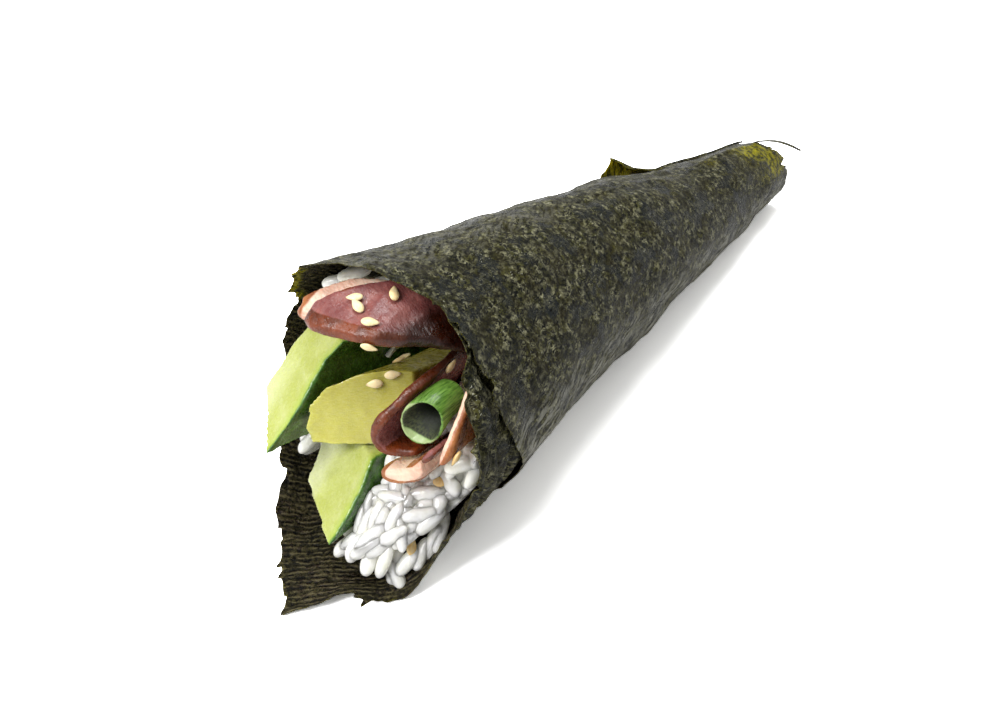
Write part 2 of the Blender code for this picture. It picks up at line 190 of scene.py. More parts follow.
class Flesh:
    """Closed, evenly meshed copy of a CAD node, to be shaped further.

    Behind squeeze_from, where little of it shows, its cells are SQUEEZE times as long."""

    SQUEEZE = 4.0

    def __init__(self, name, cell, squeeze_from=-48.0, smoothing=2):
        points, faces = node_mesh(name)
        self.stretch(points, squeeze_from, 1 / self.SQUEEZE)
        mesh = bpy.data.meshes.new("rough")
        mesh.from_pydata((points * MM).tolist(), [], faces)
        rough = new_object("rough", mesh)
        remesh = rough.modifiers.new("cells", "REMESH")
        remesh.mode = "VOXEL"
        remesh.voxel_size = cell * MM
        bpy.context.view_layer.update()
        fine = bpy.data.meshes.new_from_object(rough.evaluated_get(bpy.context.evaluated_depsgraph_get()))
        bpy.data.objects.remove(rough)
        points = np.zeros(len(fine.vertices) * 3)
        fine.vertices.foreach_get("co", points)
        self.points = points.reshape(-1, 3) / MM
        edges = np.zeros(len(fine.edges) * 2, int)
        fine.edges.foreach_get("vertices", edges)
        self.edges = edges.reshape(-1, 2)
        self.faces = [tuple(face.vertices) for face in fine.polygons]
        bpy.data.meshes.remove(fine)
        self.smooth(smoothing)
        self.stretch(self.points, squeeze_from, self.SQUEEZE)

    @staticmethod
    def stretch(points, start, factor):
        """Multiply the points' distance behind start, along Y, by the factor."""
        along = points[:, 1]
        points[:, 1] = np.where(along > start, start + (along - start) * factor, along)

    def smooth(self, rounds):
        count = len(self.points)
        degree = np.bincount(self.edges.ravel(), minlength=count)[:, None]
        for _ in range(rounds):
            total = np.zeros((count, 3))
            np.add.at(total, self.edges[:, 0], self.points[self.edges[:, 1]])
            np.add.at(total, self.edges[:, 1], self.points[self.edges[:, 0]])
            self.points = 0.5 * self.points + 0.5 * total / np.maximum(degree, 1)

    def normals(self):
        quads = np.array([face if len(face) == 4 else (*face, face[-1]) for face in self.faces])
        corner = self.points[quads]
        across = np.cross(corner[:, 2] - corner[:, 0], corner[:, 3] - corner[:, 1])
        total = np.zeros_like(self.points)
        for side in range(4):
            np.add.at(total, quads[:, side], across)
        return total / np.maximum(np.linalg.norm(total, axis=1, keepdims=True), 1e-9)

    def push(self, amount):
        """Move each point along its normal."""
        self.points = self.points + self.normals() * np.asarray(amount)[..., None]

    def tree(self):
        return BVHTree.FromPolygons(self.points.tolist(), self.faces)

    def add(self, name, material, slot, nodes, attributes=()):
        add_object(name, self.points, self.faces, material, nodes, attributes)


# ---------------------------------------------------------------- materials

class Paint:
    """Grows the node tree of one Principled material."""

    def __init__(self, name, **settings):
        self.material = bpy.data.materials.new(name)
        self.material.use_nodes = True
        self.tree = self.material.node_tree
        self.shader = self.tree.nodes["Principled BSDF"]
        for key, value in settings.items():
            self.shader.inputs[key.replace("_", " ")].default_value = value

    def node(self, kind, inputs=(), **settings):
        made = self.tree.nodes.new("ShaderNode" + kind)
        for key, value in settings.items():
            setattr(made, key, value)
        for key, value in dict(inputs).items():
            self.feed(made.inputs[key], value)
        return made

    def feed(self, socket, value):
        if isinstance(value, bpy.types.NodeSocket):
            self.tree.links.new(value, socket)
        else:
            socket.default_value = value

    def set(self, key, value):
        self.feed(self.shader.inputs[key], value)

    def place(self):
        """Object coordinates in millimetres."""
        scale = self.node("VectorMath", {0: self.node("TexCoord").outputs["Object"]}, operation="SCALE")
        scale.inputs["Scale"].default_value = 1 / MM
        return scale.outputs[0]

    def attribute(self, name, vector=False):
        made = self.node("Attribute", attribute_name=name)
        return made.outputs["Vector" if vector else "Fac"]

    def turned(self, vector, angle=0.0, stretch=(1, 1, 1), shift=(0, 0, 0)):
        """The vector turned about Z, and then stretched and shifted."""
        spun = self.node("Mapping", {"Vector": vector, "Rotation": (0, 0, radians(angle))}).outputs[0]
        return self.node("Mapping", {"Vector": spun, "Scale": stretch, "Location": shift}).outputs[0]

    def noise(self, vector, size, detail=2.0, rough=0.5):
        inputs = {"Vector": vector, "Scale": 1 / size, "Detail": detail, "Roughness": rough}
        return self.node("TexNoise", inputs).outputs["Fac"]

    def warped(self, vector, size, amount):
        """The vector, shifted about by a noise."""
        shift = self.node("TexNoise", {"Vector": vector, "Scale": 1 / size, "Detail": 2.0}).outputs["Color"]
        shift = self.node("VectorMath", {0: shift, 1: (0.5, 0.5, 0.5)}, operation="SUBTRACT").outputs[0]
        shift = self.node("VectorMath", {0: shift}, operation="SCALE")
        shift.inputs["Scale"].default_value = 2 * amount
        return self.node("VectorMath", {0: vector, 1: shift.outputs[0]}, operation="ADD").outputs[0]

    def cells(self, vector, size):
        return self.node("TexVoronoi", {"Vector": vector, "Scale": 1 / size}).outputs["Distance"]

    def math(self, operation, a, b=0.0, clamp=False):
        return self.node("Math", {0: a, 1: b}, operation=operation, use_clamp=clamp).outputs[0]

    def times(self, a, b):
        return self.math("MULTIPLY", a, b)

    def wander(self, place, size, detail, amount):
        """Noise about zero, from about -amount / 2 to amount / 2."""
        return self.times(self.math("SUBTRACT", self.noise(place, size, detail), 0.5), amount)

    def step(self, value, low, high, to_low=0.0, to_high=1.0):
        """Smooth change from to_low to to_high while value goes from low to high."""
        inputs = {"Value": value, "From Min": low, "From Max": high, "To Min": to_low, "To Max": to_high}
        return self.node("MapRange", inputs, interpolation_type="SMOOTHSTEP").outputs["Result"]

    def mix(self, share, a, b):
        made = self.node("Mix", data_type="RGBA")
        for socket, value in zip((made.inputs[0], made.inputs[6], made.inputs[7]), (share, a, b)):
            if isinstance(value, tuple) and len(value) == 3:
                value = (*value, 1.0)
            self.feed(socket, value)
        return made.outputs[2]

    def lines(self, vector, angle, width, length, seed, thickness):
        """Thin wavy lines that run along X turned by the angle: the contours of a stretched noise."""
        stretched = self.turned(vector, angle, (1 / length, 1 / width, 1), (seed, seed * 2.7, 0))
        off = self.math("ABSOLUTE", self.math("SUBTRACT", self.noise(stretched, 1.0), 0.5))
        return self.step(off, 0.0, thickness, 1.0, 0.0)

    def bump(self, height, distance, strength=1.0, normal=None):
        inputs = {"Height": height, "Distance": distance * MM, "Strength": strength}
        if normal is not None:
            inputs["Normal"] = normal
        return self.node("Bump", inputs).outputs[0]


FIBRES = [                      # angle in the flat sheet, spacing, length, seed and thickness
    (-20, 1.1, 5.5, 3.1, 0.060), (-4, 1.2, 5.0, 11.7, 0.050), (16, 1.2, 4.4, 23.9, 0.050),
    (-48, 1.3, 3.8, 41.3, 0.045), (70, 1.5, 3.0, 5.3, 0.035),
]


def nori_fibres(paint, sheet, swirl, dense):
    """Fine fibres in several directions, broken off, and more of them where they lie dense."""
    fibres = 0.0
    for angle, spacing, length, seed, thickness in FIBRES:
        more = paint.lines(swirl, angle, spacing, length, seed, thickness)
        fibres = paint.math("MAXIMUM", fibres, more)
    broken = paint.step(paint.noise(sheet, 1.1, 3, 0.6), 0.38, 0.56)
    return paint.times(fibres, paint.times(broken, paint.step(dense, 0, 1, 0.35, 1.0)))


def nori_outside(paint, sheet, swirl, grain, dense, smooth_patch, fibres):
    """Green-black with brown tints, bluish smooth patches, pits, olive fibres, painted highlight specks and
    grey streaks of painted reflection.
    """
    tint = paint.step(paint.noise(paint.turned(sheet, shift=(31, 7, 0)), 6.0, 3), 0.42, 0.62)
    colour = paint.mix(tint, (0.0014, 0.0019, 0.0011), (0.011, 0.009, 0.0022))
    colour = paint.mix(smooth_patch, colour, (0.011, 0.0135, 0.0145))
    colour = paint.mix(paint.step(grain, 0.54, 0.72), colour, (0.036, 0.035, 0.014))
    bright = paint.step(paint.noise(sheet, 1.9, 2), 0.42, 0.60)
    olive = paint.mix(bright, (0.075, 0.074, 0.022), (0.32, 0.31, 0.185))
    olive = paint.mix(tint, olive, paint.mix(0.4, olive, (0.085, 0.078, 0.018)))
    colour = paint.mix(paint.times(fibres, paint.step(smooth_patch, 0, 1, 1.0, 0.4)), colour, olive)
    pits = paint.step(paint.noise(swirl, 0.8, 2), 0.40, 0.33)
    colour = paint.mix(pits, colour, (0.0012, 0.0016, 0.001))
    # Painted highlights: tiny pale specks where the grain lies right and the fibres are dense.
    glints = paint.step(paint.noise(swirl, 0.28, 1), 0.66, 0.72)
    glints = paint.times(paint.times(glints, paint.step(grain, 0.42, 0.55)), dense)
    colour = paint.mix(glints, colour, (0.42, 0.42, 0.34))
    # Painted reflection: grey streaks low on the right of the roll and along the top near the mouth.
    streaks = paint.noise(paint.turned(paint.warped(sheet, 5.0, 1.0), 9, (0.13, 1, 1)), 0.80, 4, 0.62)
    worn = paint.times(paint.attribute("sheen"), paint.step(streaks, 0.46, 0.56))
    worn = paint.times(worn, paint.step(paint.noise(sheet, 6.0, 3), 0.34, 0.58, 0.15, 0.85))
    return paint.mix(worn, colour, (0.33, 0.325, 0.27))


def nori_ribs(paint, sheet):
    """Uneven ribs across the sheet's rough inner side."""
    inputs = {"Vector": paint.warped(sheet, 2.6, 0.9), "Scale": 0.26, "Distortion": 2.0, "Detail": 3.0,
              "Detail Scale": 1.5}
    waves = paint.node("TexWave", inputs, bands_direction="Y").outputs["Fac"]
    return paint.times(waves, paint.step(paint.noise(sheet, 1.8, 3, 0.6), 0.34, 0.56, 0.15, 1.0))


def nori_inside(paint, patches, ribs, fibres):
    """The inner side: brownish black in patches, with painted shade in the ribs' grooves, painted light on
    their crests, and a few fibres.
    """
    colour = paint.mix(paint.step(patches, 0.42, 0.60), (0.008, 0.0070, 0.0035), (0.030, 0.021, 0.015))
    # Painted shade in the ribs' grooves and painted light on their crests.
    colour = paint.mix(paint.step(ribs, 0.40, 0.10), colour, (0.0012, 0.0012, 0.0008))
    colour = paint.mix(paint.times(paint.step(ribs, 0.55, 0.90), 0.75), colour, (0.095, 0.082, 0.042))
    return paint.mix(paint.times(fibres, 0.3), colour, (0.17, 0.15, 0.06))


def nori_material():
    """Dark dried seaweed: fine olive fibres on green-black, and yellow-green painted light where light
    comes through.
    """
    paint = Paint("nori", Specular_IOR_Level=0.10, Subsurface_Radius=(1.0, 0.9, 0.25),
                  Subsurface_Scale=0.0006)
    sheet = paint.attribute("sheet", vector=True)
    thin = paint.attribute("thin")
    inner = paint.attribute("inner")
    swirl = paint.warped(paint.warped(sheet, 4.5, 2.8), 1.3, 0.6)
    grain = paint.noise(swirl, 0.4, 3, 0.6)
    dense = paint.step(paint.noise(sheet, 4.2, 4, 0.62), 0.40, 0.60)
    patches = paint.noise(sheet, 8.0, 4, 0.6)
    smooth_patch = paint.step(patches, 0.52, 0.60)
    fibres = nori_fibres(paint, sheet, swirl, dense)
    ribs = nori_ribs(paint, sheet)
    outside = nori_outside(paint, sheet, swirl, grain, dense, smooth_patch, fibres)
    colour = paint.mix(inner, outside, nori_inside(paint, patches, ribs, fibres))
    # Painted light: yellow-green in clouds where light comes through the sheet; the same mask also sets how
    # translucent it is.
    clouds = paint.step(paint.noise(sheet, 1.6, 4, 0.65), 0.40, 0.60)
    light = paint.mix(clouds, (0.030, 0.029, 0.004), (0.30, 0.27, 0.012))
    share = paint.math("ADD", thin, paint.times(paint.math("SUBTRACT", grain, 0.5), 0.9))
    share = paint.times(paint.step(share, 0.10, 0.95), paint.step(thin, 0.0, 0.25))
    paint.set("Base Color", paint.mix(share, colour, light))
    paint.set("Subsurface Weight", paint.math("MULTIPLY", thin, 0.85, clamp=True))
    rough = paint.math("ADD", paint.times(smooth_patch, -0.35), grain)
    paint.set("Roughness", paint.step(rough, 0.1, 0.8, 0.20, 0.52))
    low = paint.bump(paint.times(ribs, inner), 0.40)
    low = paint.bump(paint.noise(paint.turned(swirl, -6, (0.45, 1, 1)), 1.1, 3), 0.42, 1.0, low)
    low = paint.bump(grain, 0.20, 1.0, low)
    paint.set("Normal", paint.bump(fibres, 0.12, 1.0, low))
    return paint.material


def rice_material():
    """Moist cooked rice: translucent white and glossy, a little cloudy and uneven."""
    paint = Paint("rice", Roughness=0.24, Specular_IOR_Level=0.5, Subsurface_Weight=0.8,
                  Subsurface_Radius=(1.0, 1.0, 0.9), Subsurface_Scale=0.003,
                  Coat_Weight=0.5, Coat_Roughness=0.08)
    place = paint.place()
    cloud = paint.noise(place, 2.6, 3, 0.55)
    paint.set("Base Color", paint.mix(paint.step(cloud, 0.3, 0.7), (0.83, 0.82, 0.70), (0.95, 0.945, 0.86)))
    paint.set("Normal", paint.bump(paint.noise(place, 0.9, 3), 0.18, 0.7))
    return paint.material


def cucumber_material():
    """Wet cut cucumber: whitish in the middle, greener towards the rind, and a dark glossy rind."""
    paint = Paint("cucumber", Specular_IOR_Level=0.5, Subsurface_Weight=0.35,
                  Subsurface_Radius=(0.9, 1.0, 0.35), Subsurface_Scale=0.0015,
                  Coat_Weight=0.25, Coat_Roughness=0.15)
    place = paint.place()
    depth = paint.math("ADD", paint.attribute("depth"), paint.wander(place, 2.2, 3, 0.8))
    streak = paint.noise(paint.turned(place, 0, (1.4, 1.4, 0.35)), 1.0, 3)
    clouds = paint.step(paint.noise(place, 6.5, 2), 0.35, 0.68)
    pale = paint.mix(clouds, (0.40, 0.44, 0.10), (0.46, 0.50, 0.16))
    pale = paint.mix(paint.step(streak, 0.5, 0.8, 0.0, 0.35), pale, (0.60, 0.63, 0.27))
    pale = paint.mix(paint.attribute("white"), pale, (0.60, 0.63, 0.36))
    colour = paint.mix(paint.step(depth, 0.4, 2.8), (0.37, 0.46, 0.080), pale)
    colour = paint.mix(paint.step(depth, 0.15, 0.9), (0.075, 0.20, 0.02), colour)
    colour = paint.mix(paint.step(depth, -0.1, 0.32), (0.022, 0.065, 0.009), colour)
    spots = paint.times(paint.attribute("rind"), paint.step(paint.noise(place, 2.6, 4), 0.45, 0.7))
    colour = paint.mix(spots, colour, (0.05, 0.13, 0.018))
    paint.set("Base Color", colour)
    paint.set("Roughness", paint.step(paint.noise(place, 1.3, 3), 0.3, 0.7, 0.18, 0.36))
    fibres = paint.noise(paint.turned(place, 30, (2.4, 0.8, 0.8)), 0.9, 3)
    paint.set("Normal", paint.bump(fibres, 0.10, 0.8, paint.bump(paint.noise(place, 0.35, 2), 0.03)))
    return paint.material


def radish_material():
    """Pickled radish: wet, translucent yellow with fine pale streaks, painted light on its front and
    painted shade on top.
    """
    paint = Paint("radish", Specular_IOR_Level=0.5, Subsurface_Weight=0.6,
                  Subsurface_Radius=(1.0, 0.9, 0.2), Subsurface_Scale=0.003,
                  Coat_Weight=0.3, Coat_Roughness=0.1)
    place = paint.place()
    streaks = paint.noise(paint.turned(place, 20, (1.0, 0.4, 2.0)), 0.8, 4, 0.6)
    # Painted light and shade: bright yellow on the lit front, dark olive on top where the duck shades it.
    colour = paint.mix(paint.attribute("front"), (0.28, 0.25, 0.034), (0.56, 0.535, 0.12))
    colour = paint.mix(paint.step(streaks, 0.48, 0.72, 0.0, 0.3), colour, (0.56, 0.53, 0.155))
    specks = paint.step(paint.cells(place, 0.9), 0.12, 0.02)
    colour = paint.mix(paint.times(specks, 0.5), colour, (0.85, 0.83, 0.42))
    paint.set("Base Color", colour)
    paint.set("Roughness", paint.step(streaks, 0.3, 0.7, 0.2, 0.36))
    paint.set("Normal", paint.bump(streaks, 0.12, 0.8, paint.bump(paint.noise(place, 0.3, 2), 0.03)))
    return paint.material


def duck_material(name, pale, deep, brown, dark_brown):
    """Smoked duck: moist flesh from pale to deep, a glossy browned edge, and painted shade where a piece
    lies under others.
    """
    paint = Paint(name, Specular_IOR_Level=0.4, Subsurface_Weight=0.25,
                  Subsurface_Radius=(1.0, 0.4, 0.3), Subsurface_Scale=0.0012,
                  Coat_Weight=0.1, Coat_Roughness=0.12)
    place = paint.place()
    along = paint.noise(paint.turned(place, 18, (0.35, 1.6, 1.6)), 1.2, 4, 0.6)
    flesh = paint.mix(paint.step(paint.noise(place, 5.5, 3), 0.35, 0.65), pale, deep)
    flesh = paint.mix(paint.step(along, 0.50, 0.75, 0.0, 0.4), flesh, tuple(1.2 * part for part in pale))
    crust = paint.mix(paint.step(paint.noise(place, 3.0, 2), 0.35, 0.65, 0.1, 0.8), brown, dark_brown)
    browned = paint.math("ADD", paint.attribute("browned"), paint.wander(place, 2.2, 2, 0.5))
    colour = paint.mix(paint.step(browned, 0.25, 0.75), flesh, crust)
    # Painted shade: darkened towards dark brown where the dark attribute is set.
    colour = paint.mix(paint.attribute("dark"), colour, tuple(0.3 * part for part in dark_brown))
    paint.set("Base Color", colour)
    paint.set("Roughness", paint.step(paint.noise(place, 1.2, 3), 0.35, 0.65, 0.20, 0.48))
    paint.set("Normal", paint.bump(along, 0.30, 0.8, paint.bump(paint.noise(place, 0.8, 3), 0.14)))
    return paint.material


def onion_material():
    """Spring onion: bright glossy green outside, dull green inside darkened with painted shade that grows
    farther in, a pale thin rim and fine lines along it.
    """
    paint = Paint("onion", Specular_IOR_Level=0.5, Subsurface_Weight=0.2,
                  Subsurface_Radius=(0.6, 1.0, 0.3), Subsurface_Scale=0.0006)
    place = paint.place()
    lines = paint.noise(paint.turned(place, 0, (2.6, 0.16, 2.6)), 0.9, 3, 0.6)
    outside = paint.mix(paint.step(lines, 0.35, 0.65), (0.050, 0.125, 0.012), (0.15, 0.30, 0.045))
    # Painted shade: the inside is painted dark green, and darker still farther into the tube.
    inside = paint.mix(paint.step(lines, 0.40, 0.60), (0.010, 0.014, 0.004), (0.060, 0.072, 0.026))
    inside = paint.mix(paint.attribute("deep"), inside, (0.006, 0.009, 0.003))
    inner = paint.attribute("inner")
    colour = paint.mix(inner, outside, inside)
    colour = paint.mix(paint.attribute("rim"), colour, (0.36, 0.47, 0.20))
    paint.set("Base Color", colour)
    rough = paint.step(lines, 0.3, 0.7, 0.25, 0.4)
    paint.set("Roughness", paint.math("ADD", rough, paint.times(inner, 0.4)))
    paint.set("Normal", paint.bump(lines, 0.12, 0.9))
    return paint.material


def sesame_material():
    """Toasted sesame: cream to golden, a little darker at the point."""
    paint = Paint("sesame", Roughness=0.35, Specular_IOR_Level=0.45, Subsurface_Weight=0.2,
                  Subsurface_Radius=(1.0, 0.7, 0.4), Subsurface_Scale=0.0006)
    place = paint.place()
    colour = paint.mix(paint.attribute("toast"), (0.88, 0.76, 0.46), (0.74, 0.48, 0.17))
    clouds = paint.step(paint.noise(place, 0.7, 3), 0.4, 0.7, 0.0, 0.35)
    colour = paint.mix(clouds, colour, (0.86, 0.77, 0.52))
    colour = paint.mix(paint.attribute("point"), colour, (0.24, 0.12, 0.04))
    paint.set("Base Color", colour)
    paint.set("Normal", paint.bump(paint.noise(place, 0.35, 3), 0.05, 0.8))
    return paint.material


# ---------------------------------------------------------------- nori

def edge_distance(turn):
    turns, distances = zip(*SHEET_EDGE)
    return np.interp(turn, turns, distances)


def sheet_place(distance, turn):
    """Place in the flat, unrolled sheet, with X along the flap's straight edge."""
    def polar(far, angle):
        around = np.radians(angle) * sin(HALF_ANGLE)
        return np.stack([far * np.sin(around), far * np.cos(around)], -1)
    first, last = (polar(far, float(angle)) for angle, far in FLAP_CORNERS)
    along = (last - first) / np.linalg.norm(last - first)
    flat = polar(distance, turn)
    across = np.array((-along[1], along[0]))
    return np.stack([flat @ along, flat @ across, np.zeros(flat.shape[:-1])], -1)


def flap_share(distance, turn):
    """1 where the sheet has left the cone and lies on the ground as the flap."""
    share = ramp(distance, 248, 20) * ramp(turn, 112, 28) * ramp(turn, 172, -10)
    return np.where(turn < 180, share, 0.0)


def flap_bow(distance, turn):
    """How high the flap's front edge stands up, in a bow between its corners."""
    bow = np.sin(pi * np.clip((turn - 142) / 28, 0, 1)) * (turn < 180)
    return FLAP_BOW * bow * ramp(distance, 262, 12)


def corner_lift(distance, turn):
    """How far the torn corner on top stands away from the cone."""
    near_edge = smooth_step((distance - edge_distance(turn) + CORNER_LENGTH) / CORNER_LENGTH)
    return CORNER_RISE * peak(turn, CORNER_TURN, CORNER_WIDTH) * near_edge


def nori_points(distance, turn, depth, relief):
    """Points of the sheet, depth below its outer surface and raised by relief."""
    angle = np.radians(turn)
    upwards = np.cos(angle)[..., None] * UP
    sideways = np.sin(angle)[..., None] * SIDE
    radius = distance * tan(HALF_ANGLE) - (OUTSIDE_TURN - turn) / 360 * LAYER_PITCH - depth + relief
    points = APEX + distance[..., None] * AXIS + radius[..., None] * (upwards + sideways)
    # The inner layer rests on the outer one, and beyond the mouth on the ground.
    floor = np.where(turn < 360, LAYER_PITCH * ramp(distance, 262, -10), 0.0) + depth
    points[..., 2] = np.maximum(points[..., 2], floor)
    flap = flap_share(distance, turn)
    points[..., 2] += (floor - relief * 0.5 - points[..., 2]) * flap + flap_bow(distance, turn)
    points[..., 0] += FLAP_SPREAD * flap
    points += corner_lift(distance, turn)[..., None] * (upwards + 0.3 * sideways)
    points[..., 2] = np.maximum(points[..., 2], GROUND_GAP + SHEET_BOTTOM - depth)
    return points


def fray(turn, distance, seed, amount=1.0):
    """How far a torn edge stands out or falls back."""
    arc = np.radians(turn) * distance * tan(HALF_ANGLE)
    line = np.stack([arc, np.zeros_like(arc), np.zeros_like(arc)], -1)
    tears = ramp(noise(line, 2.4, seed + 2), 0.5, 0.3)
    jags = 0.40 * noise(line, 4.5, seed) + 0.30 * noise(line, 1.9, seed + 1)
    jags = jags + 0.14 * noise(line, 0.9, seed + 3)
    slivers = sum(length * peak(turn, middle, width) for middle, width, length in SPIKES)
    return amount * (jags - 0.9 * tears + slivers)


def nori_relief(distance, turn, base):
    """Bulges shared by all layers, and the sheet's own wrinkles."""
    flat = sheet_place(distance, turn)
    around = turn % 360
    still = np.zeros_like(distance)
    broad = 0.7 * noise(base, 24, 5) + 0.35 * noise(base, 10, 6)
    dents = 0.30 * noise(np.stack([distance, around * 0.35, still], -1), (14, 5, 1), 7)
    wrinkles = 0.20 * noise(flat, (5, 3.2, 1), 8, 2) + 0.10 * noise(flat, 1.5, 9, 2)
    # The inside edge at the right of the mouth is crumpled, in folds that go round the cone.
    crumpled = ramp(turn, 40, 20) * ramp(turn, 132, -16) * ramp(distance, 228, 14)
    folds = noise(np.stack([distance, turn * 0.09, still], -1), (1.7, 1.5, 1), 10, 2)
    # The edge over it stands off a little, and the outside edge farther back lies close to the layer below.
    to_edge = edge_distance(turn) - distance
    slit = ramp(turn, 425, 20) * ramp(turn, 520, -20) * ramp(to_edge, 7, -7)
    hug = ramp(turn, 585, 10) * ramp(to_edge, 9, -9) * (1 - peak(turn, CORNER_TURN, CORNER_WIDTH))
    # The top bulges just before the standing corner.
    bulge = np.exp(-((distance - 160) / 10) ** 2 - ((around - 315) / 22) ** 2) * (turn > 300)
    relief = (broad + dents) * ramp(distance, 80, 25) + wrinkles + 1.5 * bulge
    return relief + crumpled * (1.25 * folds - 0.6) + 0.55 * slit - 0.5 * hug


def thinness(distance, turn, far):
    """Where light comes through, painted on as yellow-green light: along torn edges, at the narrow end and
    in the standing corner.
    """
    flat = sheet_place(distance, turn)
    left_tuft = ramp(turn, 286, 8) * ramp(turn, 330, -8)
    reach = 0.9 + 0.7 * noise(flat, 2.5, 12) + 3.2 * left_tuft
    near_edge = smooth_step(1 - (far - distance) / np.maximum(reach, 0.2))
    tip = ramp(128 + 9 * noise(flat, 9, 13) - distance, 0, 34) * (1.0 + 0.3 * noise(flat, 3.5, 14))
    tip = tip * ramp(turn, 340, 30) * ramp(turn, 450, -45)
    corner = np.clip(1.2 - np.abs(turn - CORNER_TURN) / CORNER_WIDTH, 0, 1) * ramp(distance, far - 10, 6)
    return np.clip(near_edge * (0.28 + 0.72 * left_tuft) + tip + 0.8 * corner, 0, 1)


def sheen(distance, turn):
    """Where a greyish painted reflection lies on the sheet: low on the right, and along the top near the
    mouth.
    """
    around = turn % 360
    low = ramp(around, 70, 26) * ramp(around, 168, -12) * (turn > 400)
    top = np.maximum(ramp(around, 318, 14) * ramp(around, 372, -14), ramp(around, 12, -14))
    return np.clip(low + 0.25 * top * ramp(distance, 175, 30) * (turn > 300), 0, 1)


def slab_faces(rows, columns):
    """Faces of a closed slab whose two sides are grids of points, one after the other."""
    count = rows * columns
    faces = []
    for row in range(rows - 1):
        for column in range(columns - 1):
            a = row * columns + column
            quad = (a, a + 1, a + 1 + columns, a + columns)
            faces.append(quad)
            faces.append(tuple(count + corner for corner in reversed(quad)))
    rim = list(range(columns))
    rim += [row * columns + columns - 1 for row in range(1, rows)]
    rim += [(rows - 1) * columns + column for column in range(columns - 2, -1, -1)]
    rim += [row * columns for row in range(rows - 2, 0, -1)]
    for a, b in zip(rim, rim[1:] + rim[:1]):
        faces.append((b, a, count + a, count + b))
    return faces


def add_sheet(name, sides, distance, turn, thin, worn, inner, material, nodes=()):
    """Closed thin piece between an outer and an inner grid of points; inner is 1 where a side is rough."""
    points = np.concatenate([side.reshape(-1, 3) for side in sides])
    faces = outward(points, slab_faces(*distance.shape))
    add_object(name, points, faces, material, nodes, {
        "sheet": np.concatenate([sheet_place(distance, turn).reshape(-1, 3)] * 2),
        "thin": np.concatenate([thin.ravel()] * 2),
        "sheen": np.concatenate([worn.ravel()] * 2),
        "inner": np.repeat(inner, distance.size),
    })


def sheet_piece(name, turns, rows, start, row_power, material, nodes=()):
    """Piece of the sheet over the given turns, from start (a function of the turns) to its free edge."""
    far = edge_distance(turns)
    edge = far + fray(turns, far, 21)
    begin = start(turns) + fray(turns, np.full_like(turns, 100.0), 22, 0.8)
    part = 1 - (1 - np.linspace(0, 1, rows)) ** row_power
    distance = begin[None, :] + (edge - begin)[None, :] * part[:, None]
    turn = np.broadcast_to(turns[None, :], distance.shape)
    still = np.zeros_like(distance)
    relief = nori_relief(distance, turn, nori_points(distance, turn, still, still))
    thin = thinness(distance, turn, np.broadcast_to(edge[None, :], distance.shape))
    taper = 1 - 0.5 * ramp(distance, edge[None, :] - 1.2, 1.2)
    middle = (SHEET_TOP + SHEET_BOTTOM) / 2
    sides = [nori_points(distance, turn, middle + (depth - middle) * taper, relief)
             for depth in (SHEET_TOP, SHEET_BOTTOM)]
    add_sheet(name, sides, distance, turn, thin, sheen(distance, turn), (0.0, 1.0), material, nodes)


def inner_start(turn):
    """The inner layer begins well inside the mouth, behind the fillings that show."""
    return np.full_like(turn, 190.0)


def middle_start(turn):
    """The middle layer begins inside the outside one, and at the narrow end it is torn, with a notch."""
    inside = np.clip(edge_distance(turn + 360) - 7, TIP_DISTANCE, 104)
    torn = TIP_DISTANCE + 4.5 * ramp(turn, 412, -55)
    return np.where(turn < MIDDLE_TORN, inside, torn + 3.2 * peak(turn, 416, 7))


def outer_start(turn):
    """The outside layer begins at the narrow end."""
    return TIP_DISTANCE + 3.0 * ramp(turn, 660, 24)


def make_flake(material):
    """Thin flake of nori that peels off the top of the narrow end and stands out to the right of it."""
    rows, columns = 16, 5
    root, length, half_width, thickness = 88, 13.5, 1.6, 0.28
    along = np.linspace(0, 1, rows)[:, None]
    across = np.linspace(-1, 1, columns)[None, :]
    distance = root + (half_width - 0.9 * along) * across
    turn = np.broadcast_to(355 + 60 * along, distance.shape)
    radius = distance * tan(HALF_ANGLE) - 0.2 + 0.8 * along + 1.6 * np.sin(pi * along)
    middle = APEX + (distance - 2.6 * along ** 2)[..., None] * AXIS + radius[..., None] * UP
    middle = middle + (length * along - 1.0)[..., None] * SIDE
    sides = [middle + offset * UP for offset in (thickness / 2, -thickness / 2)]
    # Painted light and reflection: the flake gets a little yellow-green painted light and a little grey
    # painted reflection.
    thin = np.full(distance.shape, 0.10)
    worn = np.full(distance.shape, 0.35)
    add_sheet("nori_flake", sides, distance, turn, thin, worn, (0.0, 0.0), material)


def make_nori(material):
    turns = np.concatenate([np.arange(20, 56, 3.0), np.arange(56, INNER_SEAM, 0.75), [INNER_SEAM]])
    sheet_piece("nori_inner", turns, 110, inner_start, 1.2, material, ["nori"])
    turns = np.concatenate([np.arange(INNER_SEAM, MIDDLE_TORN, 0.9),
                            np.arange(MIDDLE_TORN, OUTER_SEAM, 0.85), [OUTER_SEAM]])
    sheet_piece("nori_middle", turns, 134, middle_start, 1.45, material)
    turns = np.concatenate([np.arange(OUTER_SEAM, 640, 1.6), np.arange(640, SHEET_END, 0.8), [SHEET_END]])
    sheet_piece("nori_outer", turns, 150, outer_start, 1.15, material)
    make_flake(material)


# ---------------------------------------------------------------- rice

